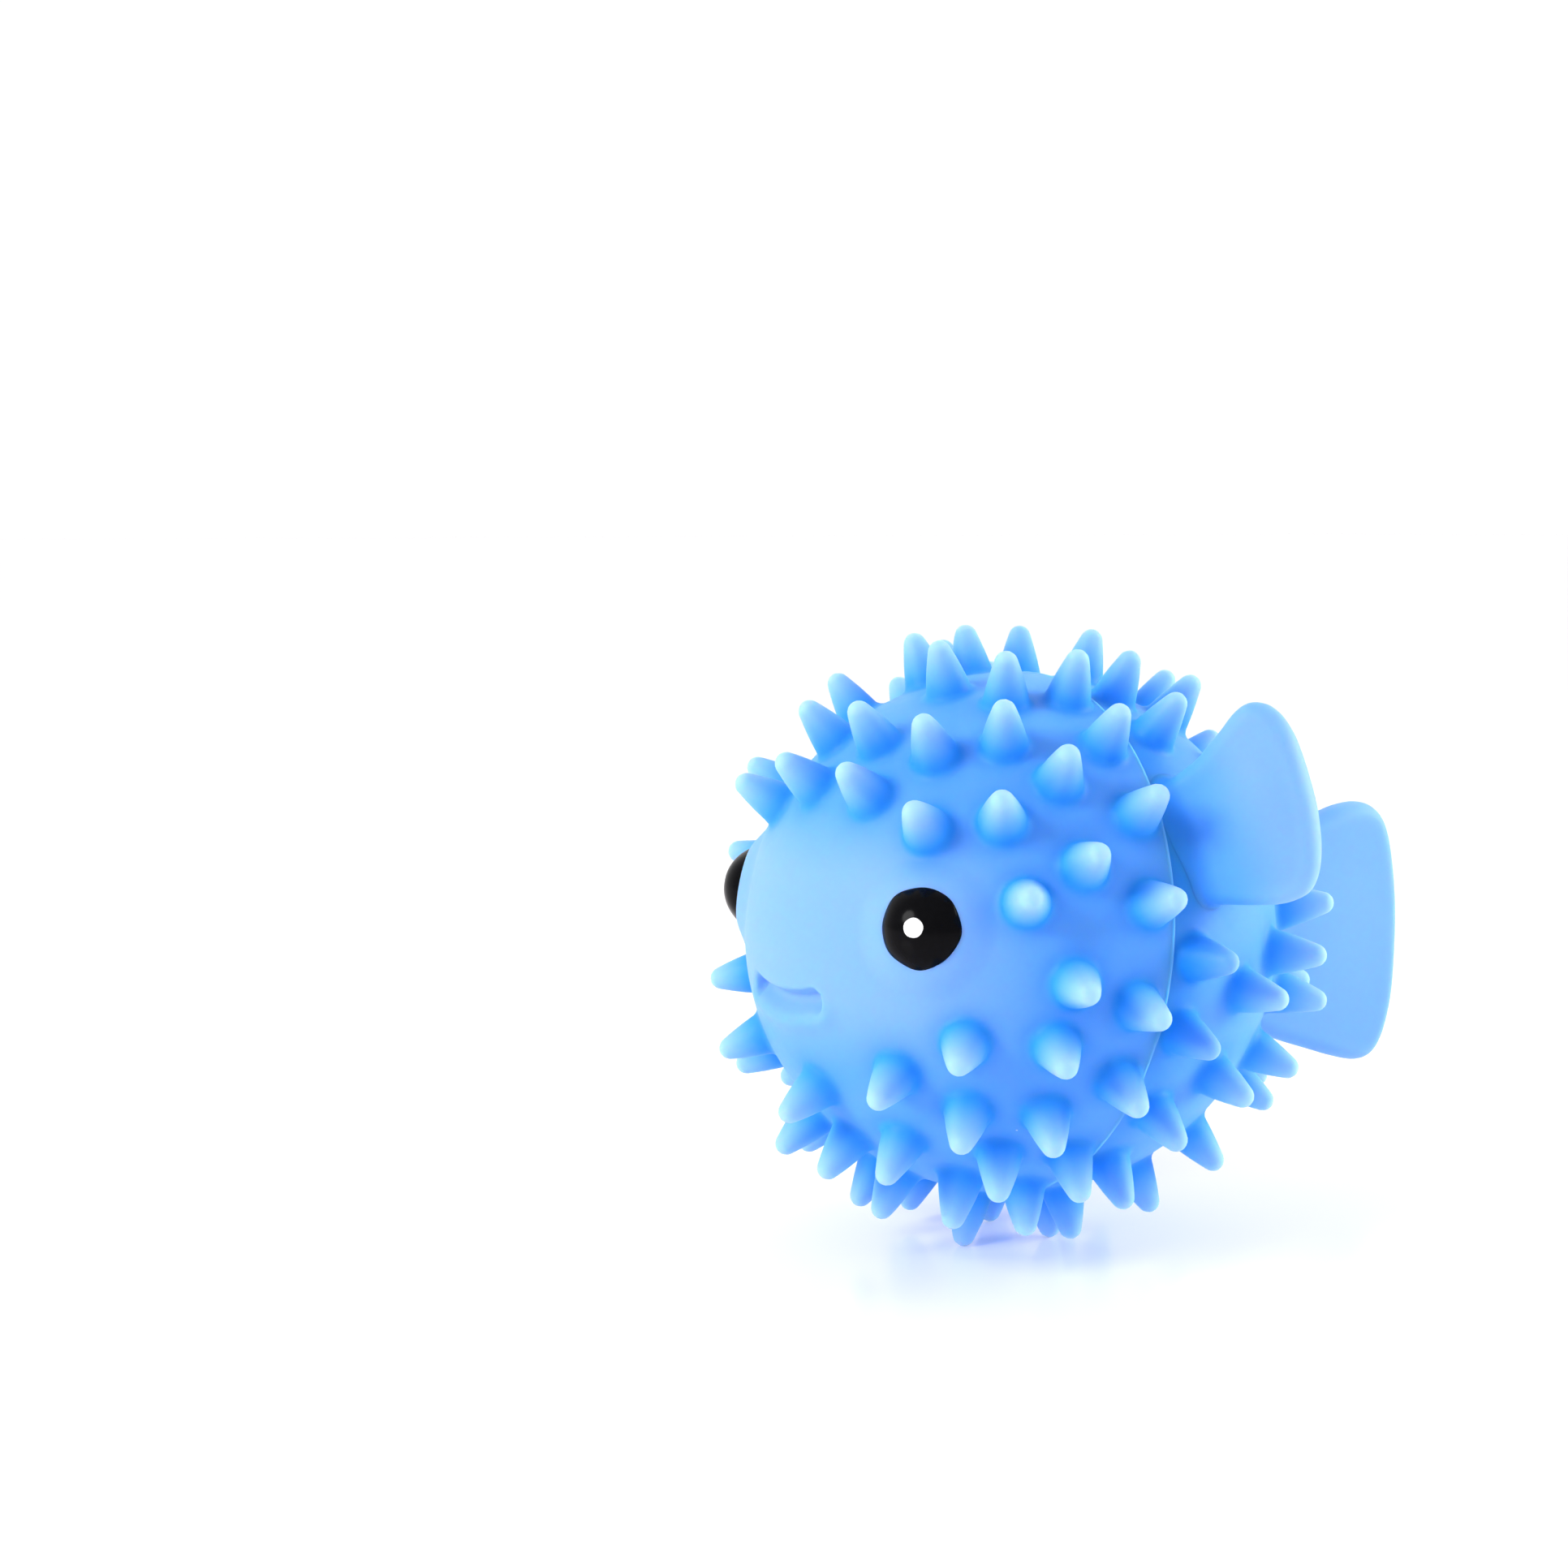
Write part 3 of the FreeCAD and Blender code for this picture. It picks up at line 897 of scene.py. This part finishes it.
def new_material(name):
    m = bpy.data.materials.new(name)
    m.use_nodes = True
    nt = m.node_tree
    for n in list(nt.nodes):
        nt.nodes.remove(n)
    out = nt.nodes.new("ShaderNodeOutputMaterial")
    bsdf = nt.nodes.new("ShaderNodeBsdfPrincipled")
    nt.links.new(bsdf.outputs[0], out.inputs["Surface"])
    return m, nt, bsdf


def node(nt, kind, **values):
    n = nt.nodes.new(kind)
    for k, v in values.items():
        setattr(n, k, v)
    return n


def mix_color(nt, fac, a, b, blend="MIX"):
    n = node(nt, "ShaderNodeMix", data_type="RGBA", blend_type=blend)
    for sock, val in ((n.inputs[0], fac), (n.inputs[6], a), (n.inputs[7], b)):
        if isinstance(val, bpy.types.NodeSocket):
            nt.links.new(val, sock)
        elif isinstance(val, (int, float)):
            sock.default_value = val
        else:
            sock.default_value = (*val, 1.0)
    return n.outputs[2]


def math_node(nt, op, a, b=0.0, clamp=False):
    n = node(nt, "ShaderNodeMath", operation=op)
    n.use_clamp = clamp
    for sock, val in ((n.inputs[0], a), (n.inputs[1], b)):
        if isinstance(val, bpy.types.NodeSocket):
            nt.links.new(val, sock)
        else:
            sock.default_value = val
    return n.outputs[0]


def vinyl_material():
    m, nt, bsdf = new_material("blue_vinyl")

    def attr(name):
        n = node(nt, "ShaderNodeAttribute", attribute_name=name)
        return n.outputs["Fac"]

    coord = node(nt, "ShaderNodeTexCoord")
    # slow drift of the pigment
    drift = node(nt, "ShaderNodeTexNoise")
    drift.inputs["Scale"].default_value = 55.0
    drift.inputs["Detail"].default_value = 2.0
    nt.links.new(coord.outputs["Object"], drift.inputs["Vector"])
    base = mix_color(nt, math_node(nt, "MULTIPLY", drift.outputs["Fac"], 0.5, True), BASE_A, BASE_B)
    # painted light on the face and on the fins
    base = mix_color(nt, math_node(nt, "MULTIPLY", attr("face"), 0.55), base, FACE_LIGHT)
    ramp = node(nt, "ShaderNodeValToRGB")
    cr = ramp.color_ramp
    while len(cr.elements) < len(SPIKE_SHADE_LIGHT_RAMP):
        cr.elements.new(0.5)
    for el, (pos, col) in zip(cr.elements, SPIKE_SHADE_LIGHT_RAMP):
        el.position = pos
        el.color = (*col, 1.0)
    nt.links.new(attr("tip"), ramp.inputs["Fac"])
    # painted shade at the spike roots and painted light at the thin tips
    base = mix_color(nt, attr("spike"), base, ramp.outputs["Color"])
    # painted shade: dark blue mixed in where the crease attribute marks closed-in places
    base = mix_color(nt, math_node(nt, "MULTIPLY", attr("crease"), 0.80, True), base, CREASE_SHADE)
    # painted light along the thin outer edges of the fins and tail
    base = mix_color(nt, math_node(nt, "MULTIPLY", attr("rim"), 0.40), base, EDGE_LIGHT)
    # painted highlight along the seam line
    base = mix_color(nt, math_node(nt, "MULTIPLY", attr("seam"), 0.15), base, EDGE_LIGHT)
    # dust specks
    speck = node(nt, "ShaderNodeTexVoronoi", feature="F1")
    speck.inputs["Scale"].default_value = 420.0
    speck.inputs["Randomness"].default_value = 1.0
    nt.links.new(coord.outputs["Object"], speck.inputs["Vector"])
    pick = node(nt, "ShaderNodeTexWhiteNoise", noise_dimensions="3D")
    nt.links.new(speck.outputs["Position"], pick.inputs["Vector"])
    few = math_node(nt, "GREATER_THAN", pick.outputs["Value"], 0.965)
    small = math_node(nt, "LESS_THAN", speck.outputs["Distance"], 0.045)
    dust = math_node(nt, "MULTIPLY", few, small)
    base = mix_color(nt, math_node(nt, "MULTIPLY", dust, 0.5), base, (0.75, 0.85, 0.98))
    nt.links.new(base, bsdf.inputs["Base Color"])
    rough = node(nt, "ShaderNodeTexNoise")
    rough.inputs["Scale"].default_value = 900.0
    rough.inputs["Detail"].default_value = 3.0
    nt.links.new(coord.outputs["Object"], rough.inputs["Vector"])
    rr = node(nt, "ShaderNodeMapRange")
    rr.inputs["To Min"].default_value = 0.46
    rr.inputs["To Max"].default_value = 0.60
    nt.links.new(rough.outputs["Fac"], rr.inputs["Value"])
    nt.links.new(rr.outputs["Result"], bsdf.inputs["Roughness"])
    bump = node(nt, "ShaderNodeBump")
    bump.inputs["Strength"].default_value = 0.06
    bump.inputs["Distance"].default_value = 0.0001
    fine = node(nt, "ShaderNodeTexNoise")
    fine.inputs["Scale"].default_value = 2600.0
    fine.inputs["Detail"].default_value = 2.0
    nt.links.new(coord.outputs["Object"], fine.inputs["Vector"])
    nt.links.new(fine.outputs["Fac"], bump.inputs["Height"])
    nt.links.new(bump.outputs["Normal"], bsdf.inputs["Normal"])
    bsdf.subsurface_method = "RANDOM_WALK"
    bsdf.inputs["Subsurface Weight"].default_value = 0.85
    bsdf.inputs["Subsurface Radius"].default_value = (0.20, 0.75, 1.6)
    bsdf.inputs["Subsurface Scale"].default_value = 0.0021
    bsdf.inputs["IOR"].default_value = 1.45
    bsdf.inputs["Specular IOR Level"].default_value = 0.28
    # painted glow: a weak blue emission stands in for light let through the thin wall and lifts the shade
    bsdf.inputs["Emission Color"].default_value = (0.0, 0.45, 1.0, 1.0)
    bsdf.inputs["Emission Strength"].default_value = 0.05
    bsdf.inputs["Sheen Weight"].default_value = 0.03
    bsdf.inputs["Sheen Roughness"].default_value = 0.45
    bsdf.inputs["Sheen Tint"].default_value = (0.85, 0.85, 1.0, 1.0)
    return m


BASE_A = (0.096, 0.340, 0.920)
BASE_B = (0.112, 0.370, 0.930)
FACE_LIGHT = (0.30, 0.480, 0.98)
CREASE_SHADE = (0.000, 0.220, 0.75)
EDGE_LIGHT = (0.32, 0.54, 0.98)
# up a spike, from its root to its tip: darker at the root as painted shade, paler at the thin tip as painted light let
# through the vinyl
SPIKE_SHADE_LIGHT_RAMP = [
    (0.00, (0.026, 0.315, 0.84)),
    (0.20, (0.060, 0.365, 0.90)),
    (0.42, (0.140, 0.43, 0.95)),
    (0.65, (0.230, 0.49, 0.97)),
    (0.86, (0.320, 0.55, 0.98)),
    (1.00, (0.380, 0.59, 0.98)),
]

vinyl = vinyl_material()


def gloss_black():
    m, nt, bsdf = new_material("black_paint")
    coord = node(nt, "ShaderNodeTexCoord")
    n = node(nt, "ShaderNodeTexNoise")
    n.inputs["Scale"].default_value = 1400.0
    nt.links.new(coord.outputs["Object"], n.inputs["Vector"])
    base = mix_color(nt, n.outputs["Fac"], (0.002, 0.002, 0.0025), (0.004, 0.004, 0.005))
    nt.links.new(base, bsdf.inputs["Base Color"])
    rr = node(nt, "ShaderNodeMapRange")
    rr.inputs["To Min"].default_value = 0.13
    rr.inputs["To Max"].default_value = 0.17
    nt.links.new(n.outputs["Fac"], rr.inputs["Value"])
    nt.links.new(rr.outputs["Result"], bsdf.inputs["Roughness"])
    bsdf.inputs["Specular IOR Level"].default_value = 0.05
    return m


def white_paint():
    m, nt, bsdf = new_material("white_paint")
    coord = node(nt, "ShaderNodeTexCoord")
    n = node(nt, "ShaderNodeTexNoise")
    n.inputs["Scale"].default_value = 1800.0
    nt.links.new(coord.outputs["Object"], n.inputs["Vector"])
    base = mix_color(nt, n.outputs["Fac"], (0.93, 0.93, 0.93), (1.0, 1.0, 1.0))
    nt.links.new(base, bsdf.inputs["Base Color"])
    bsdf.inputs["Roughness"].default_value = 0.35
    # painted light: the white dot glows a little
    bsdf.inputs["Emission Color"].default_value = (1, 1, 1, 1)
    bsdf.inputs["Emission Strength"].default_value = 0.15
    return m


black, white = gloss_black(), white_paint()

REPLACES = {
    "front_half": ("front_shell", vinyl, "vinyl"),
    "rear_half": ("rear_shell", vinyl, "vinyl"),
    "left_paddle": ("left_fin", vinyl, "vinyl"),
    "right_paddle": ("right_fin", vinyl, "vinyl"),
    "tail_fan": ("tail_fin", vinyl, "vinyl"),
    "left_eye_dome": ("left_eye", black, "eye_black"),
    "right_eye_dome": ("right_eye", black, "eye_black"),
    "left_eye_dot": ("left_eye_highlight", white, "eye_white"),
    "right_eye_dot": ("right_eye_highlight", white, "eye_white"),
}
for name, (cad, mat, slot) in REPLACES.items():
    ob = pieces[name]
    ob.data.materials.clear()
    ob.data.materials.append(mat)
    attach(ob, "root")
    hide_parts(cad)

# ------------------------------------------------------------ floor, light


def floor_material():
    m, nt, bsdf = new_material("floor_white")
    bsdf.inputs["Base Color"].default_value = (0.95, 0.90, 0.93, 1)
    bsdf.inputs["Roughness"].default_value = 0.20
    bsdf.inputs["Specular IOR Level"].default_value = 0.45
    bsdf.inputs["Emission Color"].default_value = (1.0, 0.97, 1.0, 1)
    bsdf.inputs["Emission Strength"].default_value = 0.13
    return m


me = bpy.data.meshes.new("floor")
s = 12.0
me.from_pydata([(-s, -s, 0), (s, -s, 0), (s, s, 0), (-s, s, 0)], [], [(0, 1, 2, 3)])
floor = bpy.data.objects.new("floor", me)
bpy.context.scene.collection.objects.link(floor)
me.materials.append(floor_material())

AZ, EL, DIST = math.radians(53.0), math.radians(10.0), 0.261
view = Vector((math.sin(AZ) * math.cos(EL), -math.cos(AZ) * math.cos(EL), math.sin(EL)))
right = Vector((math.cos(AZ), math.sin(AZ), 0))
up = Vector((0, 0, 1))

# white walls all round, a slightly brighter ceiling
world = bpy.data.worlds.new("studio")
bpy.context.scene.world = world
world.use_nodes = True
wt = world.node_tree
bg = wt.nodes["Background"]
wc = wt.nodes.new("ShaderNodeTexCoord")
sep = wt.nodes.new("ShaderNodeSeparateXYZ")
wt.links.new(wc.outputs["Generated"], sep.inputs[0])
ramp = wt.nodes.new("ShaderNodeMapRange")
ramp.interpolation_type = "SMOOTHSTEP"
ramp.inputs["From Min"].default_value = 0.30
ramp.inputs["From Max"].default_value = 0.75
ramp.inputs["To Min"].default_value = 1.03
ramp.inputs["To Max"].default_value = 1.10
wt.links.new(sep.outputs["Z"], ramp.inputs["Value"])
# the wall behind the ball is the brightest
flat = wt.nodes.new("ShaderNodeVectorMath")
flat.operation = "DOT_PRODUCT"
wt.links.new(wc.outputs["Generated"], flat.inputs[0])
flat.inputs[1].default_value = (-math.sin(AZ), math.cos(AZ), 0.0)
side = wt.nodes.new("ShaderNodeMapRange")
side.interpolation_type = "SMOOTHSTEP"
side.inputs["From Min"].default_value = -0.1
side.inputs["From Max"].default_value = 0.7
side.inputs["To Min"].default_value = 0.54
side.inputs["To Max"].default_value = 1.0
wt.links.new(flat.outputs["Value"], side.inputs["Value"])
both = wt.nodes.new("ShaderNodeMath")
both.operation = "MULTIPLY"
wt.links.new(ramp.outputs["Result"], both.inputs[0])
wt.links.new(side.outputs["Result"], both.inputs[1])
wt.links.new(both.outputs["Value"], bg.inputs["Strength"])
bg.inputs["Color"].default_value = (1.0, 1.0, 1.0, 1)


def area(name, location, target, size, power):
    data = bpy.data.lights.new(name, "AREA")
    data.shape = "DISK"
    data.size = size
    data.energy = power
    ob = bpy.data.objects.new(name, data)
    ob.location = location
    ob.rotation_euler = (Vector(target) - Vector(location)).to_track_quat("-Z", "Y").to_euler()
    bpy.context.scene.collection.objects.link(ob)
    return ob


middle = Vector(CENTRE * 0.001)


def around(r, u, v):
    """a point given across, up and towards the camera, in metres"""
    flat = Vector((view.x, view.y, 0)).normalized()
    return middle + right * r + up * u + flat * v


area("key", around(-0.62, 0.42, 0.42), middle, 0.42, 5.6)
area("rim", around(0.75, 0.25, -0.10), middle, 0.55, 5.4)

# ------------------------------------------------------------------ camera

cam_data = bpy.data.cameras.new("camera")
cam = bpy.data.objects.new("camera", cam_data)
bpy.context.scene.collection.objects.link(cam)
cam.location = middle + view * DIST
FRAME_PX = 1932.0
FOCAL_PX = 320.5 * math.sqrt(80.0)
cam_data.sensor_width = 36.0
cam_data.lens = 36.0 * FOCAL_PX / FRAME_PX
cam_data.clip_start = 0.01
cam_data.clip_end = 20.0
cam.rotation_euler = (-view).to_track_quat("-Z", "Y").to_euler()
# the ball stands off the middle of the picture
cam_data.shift_x = -(1246.5 - FRAME_PX / 2) / FRAME_PX
cam_data.shift_y = (1149.0 - FRAME_PX / 2) / FRAME_PX
bpy.context.scene.camera = cam

scene = bpy.context.scene
scene.view_settings.view_transform = "Standard"
scene.view_settings.look = "None"
scene.view_settings.exposure = 0.0
scene.view_settings.gamma = 1.0

bpy.context.view_layer.update()
